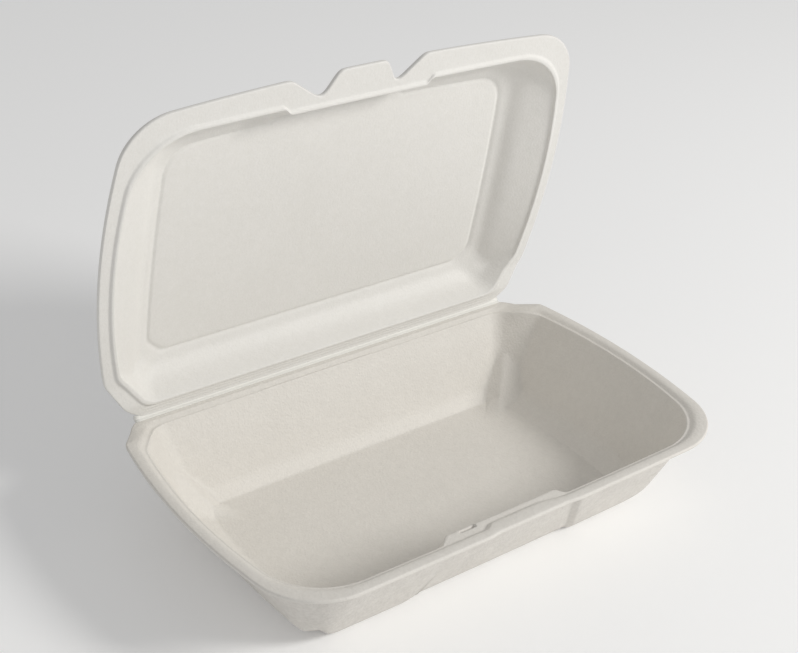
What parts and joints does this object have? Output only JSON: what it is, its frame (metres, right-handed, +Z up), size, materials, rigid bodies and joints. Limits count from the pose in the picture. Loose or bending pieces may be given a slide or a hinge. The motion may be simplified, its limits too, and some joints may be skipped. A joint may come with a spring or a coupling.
{
  "type": "foam clamshell food container",
  "caption": "Rectangular foam takeaway container: a sloped tray and a domed hinged lid, with a lock tab and corner flutes.",
  "frame": {"origin": "middle of the tray's flat underside", "axes": "+X along the hinge, -Y the front with the lock, +Z up; the lid stands open as at rest"},
  "size_m": [0.24, 0.1609, 0.189],
  "materials": {
    "foam_tray": "off-white expanded polystyrene foam, soft low sheen, fine pressed grain",
    "foam_lid": "off-white expanded polystyrene foam, soft low sheen, smoother pressed skin"
  },
  "bodies": {
    "tray": {"tray": "foam_tray"},
    "lid": {"lid": "foam_lid"}
  },
  "joints": [
    {"name": "lid_hinge", "type": "hinge", "parent": "tray", "child": "lid", "pos_m": [0, 0.072, 0.03955], "axis": [-1, 0, 0], "range_deg": [-81, 99]}
  ]
}
